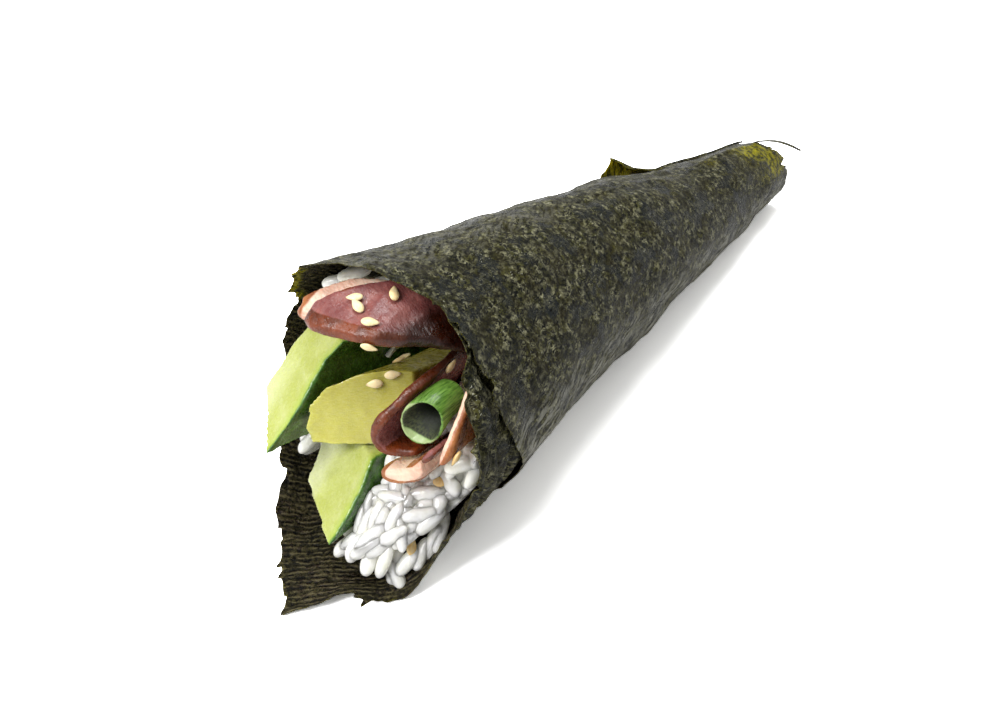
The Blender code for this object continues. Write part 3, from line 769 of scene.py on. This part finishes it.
GRAIN_LENGTH = 8.4
GRAIN_WIDTH = 3.1
GRAIN_THICKNESS = 2.7
GRAIN_RINGS = 18
GRAIN_SIDES = 14
GRAIN_SPACING = 2.3
GRAIN_OVERLAP = 0.25            # grains may reach this deep into the fillings
FRONT_GRAINS = [                # (x, y, z), and direction as seen from the front
    ((6.5, -83.4, 5.2), 35), ((10.1, -84.5, 7.6), 55), ((13.2, -83.6, 6.4), 70), ((15.8, -82.6, 6.0), 62),
    ((16.6, -80.4, 3.4), 80), ((17.2, -81.4, 2.6), 115), ((18.4, -78.6, 4.6), 48),
    ((19.9, -76.2, 5.6), 66), ((20.8, -73.8, 7.4), 58), ((21.4, -71.8, 9.6), 74),
    ((19.6, -63.8, 26.0), 80), ((20.0, -64.6, 21.0), 75),
]
FRONT_NORMAL = np.array((0.2, -0.75, 0.63))
VIEW_RIGHT = np.array((0.773, 0.634, 0.0))      # level and upright directions in the view of the mouth
VIEW_UP = np.array((-0.408, 0.497, 0.766))


def seen_direction(angle):
    """Direction at an angle from level in the view of the mouth: 0 to the right, 90 up."""
    return cos(radians(angle)) * VIEW_RIGHT + sin(radians(angle)) * VIEW_UP


def ring_points(rings, sides, first, last, section):
    """Body along X from first to last; section gives the place and the two half widths of a ring."""
    points = [(first, 0, 0)]
    for ring in range(1, rings):
        x, width, height = section(-cos(pi * (ring / rings)))
        for side in range(sides):
            angle = 2 * pi * side / sides
            points.append((x, width * cos(angle), height * sin(angle)))
    points.append((last, 0, 0))
    return np.array(points)


def ring_faces(rings, sides, offset):
    """Faces of such a body whose first point has the number offset."""
    faces = [(0, 1 + (side + 1) % sides, 1 + side) for side in range(sides)]
    for ring in range(rings - 2):
        low = 1 + ring * sides
        for side in range(sides):
            after = (side + 1) % sides
            faces.append((low + side, low + after, low + sides + after, low + sides + side))
    last = 1 + (rings - 1) * sides
    low = last - sides
    faces += [(low + side, low + (side + 1) % sides, last) for side in range(sides)]
    return [tuple(offset + corner for corner in face) for face in faces]


def grain_points(length, width, thickness, bend):
    """Grain of rice about the origin, along X: blunt ends, slightly bent."""
    def section(x):
        swell = (1 - abs(x) ** 2.6) ** 0.5 * (1 - 0.08 * x)
        return x * length / 2, swell * width / 2, swell * thickness / 2
    points = ring_points(GRAIN_RINGS, GRAIN_SIDES, -length / 2, length / 2, section)
    points[:, 1] += bend * (1 - (2 * points[:, 0] / length) ** 2)
    return points


def turned_to(direction, normal, roll):
    """Rotation that takes X to direction and Z towards the normal, rolled about X."""
    x_axis = Vector(direction).normalized()
    y_axis = Vector(normal).cross(x_axis).normalized()
    turn = Matrix((x_axis, y_axis, x_axis.cross(y_axis))).transposed()
    return np.array(turn @ Matrix.Rotation(roll, 3, "X"))


def one_grain(rng, place, normal, direction, sunk):
    """Points of a grain of uneven size that lies on the surface at place, along the direction."""
    along = direction - 0.5 * np.dot(direction, normal) * normal
    along = along / np.linalg.norm(along) + normal * rng.uniform(-0.25, 0.25)
    grain = grain_points(GRAIN_LENGTH * rng.uniform(0.80, 1.10), GRAIN_WIDTH * rng.uniform(0.85, 1.1),
                         GRAIN_THICKNESS * rng.uniform(0.9, 1.1), rng.uniform(-0.3, 0.45))
    grain = grain + 0.10 * noise(grain + rng.uniform(0, 50, 3), 1.6, 33)[:, None] * grain / GRAIN_WIDTH
    return grain @ turned_to(along, normal, rng.uniform(-0.5, 0.5)).T + place + normal * sunk


def depth_inside(trees, point):
    """How deep a point lies inside any of the closed meshes; negative outside."""
    deepest = -99.0
    for tree in trees:
        near, normal, _, far = tree.find_nearest(Vector(point))
        deepest = max(deepest, far if (Vector(point) - near).dot(normal) < 0 else -far)
    return deepest


def below_nori(points, clearance):
    """Whether all points are inside the cone, at least so far below the sheet."""
    distance = (points - APEX) @ AXIS
    radius = np.linalg.norm(points - APEX - distance[:, None] * AXIS, axis=1)
    return bool((radius < distance * tan(HALF_ANGLE) - 2 * LAYER_PITCH - SHEET_BOTTOM - clearance).all())


def held_below(points):
    """The points, moved towards the axis where they come too near the sheet, more so above the fillings."""
    distance = ((points - APEX) @ AXIS)[:, None]
    around = points - APEX - distance * AXIS
    radius = np.linalg.norm(around, axis=1, keepdims=True)
    margin = 2 * LAYER_PITCH + SHEET_BOTTOM + 0.9 + 3.6 * ramp(points[:, 2:], 40, 6)
    limit = distance * tan(HALF_ANGLE) - margin
    return APEX + distance * AXIS + around * np.minimum(1, limit / np.maximum(radius, 1e-6))


def surface_samples(points, faces, wanted, rng):
    """Random places on the faces that look out of the mouth, each with its normal."""
    triangles = [(face[0], face[corner], face[corner + 1])
                 for face in faces for corner in range(1, len(face) - 1)]
    corners = points[np.array(triangles)]
    cross = np.cross(corners[:, 1] - corners[:, 0], corners[:, 2] - corners[:, 0])
    area = np.linalg.norm(cross, axis=1) / 2
    normals = cross / np.maximum(2 * area[:, None], 1e-9)
    looks_out = (corners.mean(axis=1)[:, 1] < -50) & (normals[:, 1] < -0.12)
    chance = np.where(looks_out, area, 0.0)
    picks = rng.choice(len(area), wanted, p=chance / chance.sum())
    share = rng.random((wanted, 2))
    share = np.where(share.sum(axis=1, keepdims=True) > 1, 1 - share, share)
    a, b, c = corners[picks].transpose(1, 0, 2)
    return a + share[:, :1] * (b - a) + share[:, 1:] * (c - a), normals[picks]


def shows_grains(place):
    """High on the left, behind the fillings, only a narrow strip of the heap has loose grains."""
    return place[2] <= 25 or place[0] >= 12 or abs(place[0] + 14.5) <= 3


def make_rice(material, fillings):
    rng = np.random.default_rng(4)
    core = Flesh("rice", 0.9, squeeze_from=-40, smoothing=4)
    core.push(-0.6 + 0.5 * noise(core.points, 2.6, 31, 2))
    core.points = held_below(core.points)
    core.add("rice_core", material, "rice", ["rice"])
    places, normals = surface_samples(*node_mesh("rice"), 2600, rng)
    trees = [BVHTree.FromPolygons(points.tolist(), faces) for points, faces in map(node_mesh, fillings)]
    grains = []
    kept = []
    for place, angle in FRONT_GRAINS:
        kept.append(np.array(place))
        grains.append(one_grain(rng, kept[-1], FRONT_NORMAL, seen_direction(angle), 0.2))
    for place, normal in zip(places, normals):
        if any(np.linalg.norm(place - other) < GRAIN_SPACING for other in kept) or not shows_grains(place):
            continue
        grain = one_grain(rng, place, normal, seen_direction(rng.normal(50, 30)), rng.uniform(-1.0, 0.0))
        third, fourth = len(grain) // 3, len(grain) // 4
        tests = (grain[0], grain[third], grain.mean(axis=0), grain[3 * fourth], grain[-1])
        if max(depth_inside(trees, test) for test in tests) > GRAIN_OVERLAP or not below_nori(grain, 0.3):
            continue
        kept.append(place)
        grains.append(grain)
    all_faces = []
    for index, grain in enumerate(grains):
        all_faces += ring_faces(GRAIN_RINGS, GRAIN_SIDES, index * len(grain))
    add_object("rice_grains", np.concatenate(grains), all_faces, material)


# ---------------------------------------------------------------- fillings

CUCUMBER_SKINS = {              # the dark side of each stick, as (z, x) at the mouth
    "cucumber_upper": [(18.9, -11.7), (24, -10.7), (29, -10.2), (34.8, -11.2), (38.9, -9.4)],
    "cucumber_lower": [(7.4, 5.5), (11.5, 6.2), (15.5, 5.9), (19.3, 4.5)],
}


def make_cucumbers(material):
    for name, skin in CUCUMBER_SKINS.items():
        flesh = Flesh(name, 0.36)
        across, _, height = (flesh.points / narrowing(flesh.points[:, 1])[:, None]).T
        depth = np.interp(height, *zip(*skin)) - across + APEX[0]
        rind = ramp(depth, 0.8, -0.4) * ramp(flesh.normals()[:, 0], 0.2, 0.4)
        white = ramp(height, 33, -12) if name == "cucumber_upper" else ramp(depth, 9, 6)
        relief = 0.12 * noise(flesh.points, 2.5, 41, 2) + 0.2 * noise(flesh.points, (6, 9, 6), 42)
        flesh.push(relief * (1 - 0.5 * rind) - 0.05)
        flesh.add(name + "_flesh", material, "cucumber", [name],
                  {"depth": np.clip(depth, 0, 20), "rind": rind, "white": 0.8 * ramp(depth, 5, 6) * white})


def make_radish(material):
    flesh = Flesh("pickled_radish", 0.36)
    # Painted light and shade: faces towards the front are painted bright, more so low down, and the top in
    # the duck's shade stays dark olive.
    front = ramp(-flesh.normals()[:, 1], 0.1, 0.5) * (0.35 + 0.65 * ramp(flesh.points[:, 2], 36, -11))
    flesh.push(0.10 * noise(flesh.points, 2.2, 43, 2) + 0.2 * noise(flesh.points, 7, 44) - 0.05)
    flesh.add("pickled_radish_flesh", material, "radish", ["pickled_radish"], {"front": front})


def skin_share(flesh, directions, reach):
    """1 where the piece ends within about the reach in one of the directions, which is its browned skin."""
    tree = flesh.tree()
    starts = flesh.points - 0.12 * flesh.normals()
    nearest = np.full(len(starts), 99.0)
    for direction in directions:
        towards = Vector(direction).normalized()
        for index, start in enumerate(starts):
            hit = tree.ray_cast(Vector(start), towards, 2 * reach)
            if hit[0] is not None:
                nearest[index] = min(nearest[index], hit[3])
    return smooth_step((1.35 * reach - nearest) / (0.7 * reach))


DUCK_SLICES = [                 # node, flesh, cell, directions that its browned skin faces, skin thickness
    ("duck_top", "meat", 0.36, [(0, -0.85, -0.52), (0, -0.3, -1)], 2.0),
    ("duck_back", "fat", 0.36, [(-1, 0, 0)], 1.7),
    ("duck_curl", "meat", 0.33, [(-1, 0, 0), (-0.6, 0, 0.8), (-0.8, 0, -0.6)], 1.5),
    ("duck_fat", "fat", 0.30, [(-0.9, 0, -0.44), (-0.4, 0, -0.9)], 1.1),
    ("duck_tip", "meat", 0.25, [(0, 0, -1)], 1.1),
    ("duck_side", "fat", 0.30, [(1, 0, 0)], 0.5),
]
DUCK_SLOTS = {"meat": "duck", "fat": "duck_fat"}


def make_duck(materials):
    for name, kind, cell, directions, thickness in DUCK_SLICES:
        flesh = Flesh(name, cell, smoothing=3)
        x, _, z = flesh.points.T
        browned = skin_share(flesh, directions, thickness)
        # Painted shade: the right of the top slice, under the rim, and the top of the curl are painted
        # darker.
        dark = np.zeros(len(browned))
        if name == "duck_back":
            browned *= ramp(x, -10.2, -2)
        if name == "duck_top":
            dark = ramp(x + 0.8 * noise(flesh.points, 3, 53), 6.0, 6.5)
        if name == "duck_curl":
            dark = 0.7 * ramp(z, 37, 6)
        flesh.push(0.10 * noise(flesh.points, (3.5, 1.6, 1.6), 51, 2) + 0.25 * noise(flesh.points, 5, 52))
        flesh.add(name + "_slice", materials[kind], DUCK_SLOTS[kind], [name],
                  {"browned": browned, "dark": dark})


ONION_AXIS = np.array(((16.4, -70.5, 35.1), (16.7, -62.5, 37.1)))      # the hole, from its rim inwards
ONION_RADII = (4.3, 3.5)


def make_onion(material):
    flesh = Flesh("spring_onion", 0.24, squeeze_from=-58)
    first, last = ONION_AXIS
    share = (flesh.points[:, 1] - first[1]) / (last[1] - first[1])
    radius = ONION_RADII[0] + share * (ONION_RADII[1] - ONION_RADII[0])
    from_axis = flesh.points - first - share[:, None] * (last - first)
    inside = radius - np.linalg.norm(from_axis[:, [0, 2]], axis=1)
    rim = ramp(share, 0.10, -0.06) * ramp(inside, 0.50, -0.15) * ramp(inside, -0.3, 0.15)
    flesh.push(0.06 * noise(flesh.points, (1.1, 14, 1.1), 61, 2) + 0.12 * noise(flesh.points, 5, 62))
    # The deep share paints more shade farther into the tube.
    flesh.add("spring_onion_ring", material, "onion", ["spring_onion"],
              {"inner": ramp(inside, 0.35, 0.2), "rim": rim, "deep": ramp(share, 0, 0.4)})


# ---------------------------------------------------------------- sesame seeds

SEED_LENGTH = 3.3
SEED_WIDTH = 2.0
SEED_THICKNESS = 1.05
SEED_RINGS = 16
SEED_SIDES = 14
SEEDS = [                       # (x, y, z), direction of the point as an angle, toast, piece it lies on
    ((-0.6, -68.3, 54.8), 180, 0.2, "duck_top_slice"),
    ((1.2, -69.6, 54.4), 120, 0.2, "duck_top_slice"),
    ((5.6, -71.1, 53.7), 350, 0.3, "duck_top_slice"),
    ((3.9, -63.0, 54.6), 80, 0.5, "duck_top_slice"),
    ((7.6, -73.6, 51.6), 330, 0.3, "duck_top_slice"),
    ((-3.2, -56.8, 33.4), 270, 0.6, "pickled_radish_flesh"),
    ((-0.9, -58.3, 33.9), 190, 0.2, "pickled_radish_flesh"),
    ((1.4, -62.9, 34.2), 10, 0.25, "pickled_radish_flesh"),
    ((-0.8, -65.7, 32.5), 185, 0.25, "pickled_radish_flesh"),
    ((14.1, -60.1, 41.5), 80, 0.6, "duck_curl_slice"),
    ((25.0, -71.2, 32.6), 270, 0.9, "duck_side_slice"),
    ((18.6, -68.4, 19.1), 0, 0.9, "rice_grains"),
    ((17.4, -77.1, 7.7), 80, 0.8, "rice_grains"),
]
SEEN_FROM = Vector((0.486, -0.592, 0.643))      # towards the eye, from the mouth
SEED_DROP = 6                   # seeds are placed by a ray that starts this far in front of them


def seed_points():
    """Sesame seed about the origin, its point towards +X."""
    def section(x):
        swell = (1 - x * x) ** 0.5 * (1 - 0.42 * ramp(x, -0.3, 1.3))
        return (x + 0.08) * SEED_LENGTH / 2, swell * SEED_WIDTH / 2, swell * SEED_THICKNESS / 2
    return ring_points(SEED_RINGS, SEED_SIDES, -0.42 * SEED_LENGTH, 0.56 * SEED_LENGTH, section)


def piece_tree(name):
    mesh = bpy.data.objects[name].data
    return BVHTree.FromPolygons([vert.co / MM for vert in mesh.vertices],
                                [tuple(face.vertices) for face in mesh.polygons])


def make_seeds(material):
    shape = seed_points()
    point = ramp(shape[:, 0] / SEED_LENGTH, 0.40, 0.12)
    trees = {piece: piece_tree(piece) for _, _, _, piece in SEEDS}
    rng = np.random.default_rng(9)
    points, faces, toasts, tips = [], [], [], []
    for place, angle, toast, piece in SEEDS:
        near, normal, _, _ = trees[piece].ray_cast(Vector(place) + SEED_DROP * SEEN_FROM, -SEEN_FROM)
        if near is None:
            near, normal, _, _ = trees[piece].find_nearest(Vector(place))
        if piece == "rice_grains":
            normal = (normal + 2 * SEEN_FROM).normalized()
        direction = Vector(seen_direction(angle))
        direction = direction - direction.dot(normal) * normal
        turn = turned_to(direction, normal, rng.uniform(-0.2, 0.2))
        middle = np.array(near + normal * (SEED_THICKNESS * 0.55))
        faces += ring_faces(SEED_RINGS, SEED_SIDES, len(shape) * len(points))
        points.append(shape * rng.uniform(0.94, 1.05) @ turn.T + middle)
        toasts.append(np.full(len(shape), toast))
        tips.append(point * (0.3 + 0.6 * toast))
    add_object("sesame_seeds", np.concatenate(points), faces, material, (),
               {"toast": np.concatenate(toasts), "point": np.concatenate(tips)})


# ---------------------------------------------------------------- stage

CAMERA_PLACE = (113.78, -166.18, 163.72)
CAMERA_AZIMUTH = radians(39.34)
CAMERA_ELEVATION = radians(40.0)
FLOOR_SEEN = (3.1, 3.1, 3.1)    # how white the floor shows, and how white it is to the light
FLOOR_WHITE = (0.78, 0.78, 0.78)
FLOOR_REACH = 3                 # metres
LAMPS = [                       # name, place and size in metres, power
    ("front_left", (-0.16, -0.60, 0.60), 0.38, 7.3),
    ("small", (-0.24, -0.04, 0.72), 0.05, 0.7),
    ("top", (-0.12, 0.16, 0.88), 0.38, 4.2),
]
LAMP_TARGET = Vector((0, 0, 0.02))
WORLD_STRENGTH = 0.40


def look(obj, direction):
    obj.rotation_euler = Vector(direction).to_track_quat("-Z", "Y").to_euler()


def make_camera():
    camera = new_object("camera", bpy.data.cameras.new("camera"))
    camera.data.lens = 36
    camera.data.sensor_width = 36
    camera.data.clip_start = 0.005
    camera.location = Vector(CAMERA_PLACE) * MM
    flat = cos(CAMERA_ELEVATION)
    look(camera, (-sin(CAMERA_AZIMUTH) * flat, cos(CAMERA_AZIMUTH) * flat, -sin(CAMERA_ELEVATION)))
    bpy.context.scene.camera = camera


def make_floor():
    """White ground, seen brighter than it is to the light, so that only the shadows show on it."""
    mesh = bpy.data.meshes.new("floor")
    corners = [(x * FLOOR_REACH, y * FLOOR_REACH, 0) for x, y in ((-1, -1), (1, -1), (1, 1), (-1, 1))]
    mesh.from_pydata(corners, [], [(0, 1, 2, 3)])
    floor = new_object("floor", mesh)
    paint = Paint("floor")
    seen = paint.node("LightPath").outputs["Is Camera Ray"]
    white = paint.node("BsdfDiffuse", {"Color": paint.mix(seen, FLOOR_WHITE, FLOOR_SEEN)})
    paint.tree.links.new(white.outputs[0], paint.tree.nodes["Material Output"].inputs["Surface"])
    mesh.materials.append(paint.material)


def add_lamp(name, place, size, power):
    lamp = new_object(name, bpy.data.lights.new(name, "AREA"))
    lamp.data.shape = "SQUARE"
    lamp.data.size = size
    lamp.data.energy = power
    lamp.location = place
    look(lamp, LAMP_TARGET - Vector(place))


def make_light():
    for lamp in LAMPS:
        add_lamp(*lamp)
    world = bpy.data.worlds.new("world")
    world.use_nodes = True
    sky = world.node_tree.nodes["Background"]
    sky.inputs["Color"].default_value = (1, 1, 1, 1)
    sky.inputs["Strength"].default_value = WORLD_STRENGTH
    bpy.context.scene.world = world
    bpy.context.scene.view_settings.view_transform = "Standard"


def main():
    make_camera()
    make_floor()
    make_light()
    make_nori(nori_material())
    fillings = [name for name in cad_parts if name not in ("nori", "rice")]
    make_rice(rice_material(), fillings)
    make_cucumbers(cucumber_material())
    make_radish(radish_material())
    meat = duck_material("duck_meat", (0.28, 0.100, 0.085), (0.18, 0.054, 0.050), (0.20, 0.040, 0.008),
                         (0.070, 0.013, 0.004))
    fat = duck_material("duck_fat", (0.82, 0.58, 0.44), (0.60, 0.33, 0.23), (0.42, 0.16, 0.05),
                        (0.22, 0.06, 0.02))
    make_duck({"meat": meat, "fat": fat})
    make_onion(onion_material())
    make_seeds(sesame_material())


main()
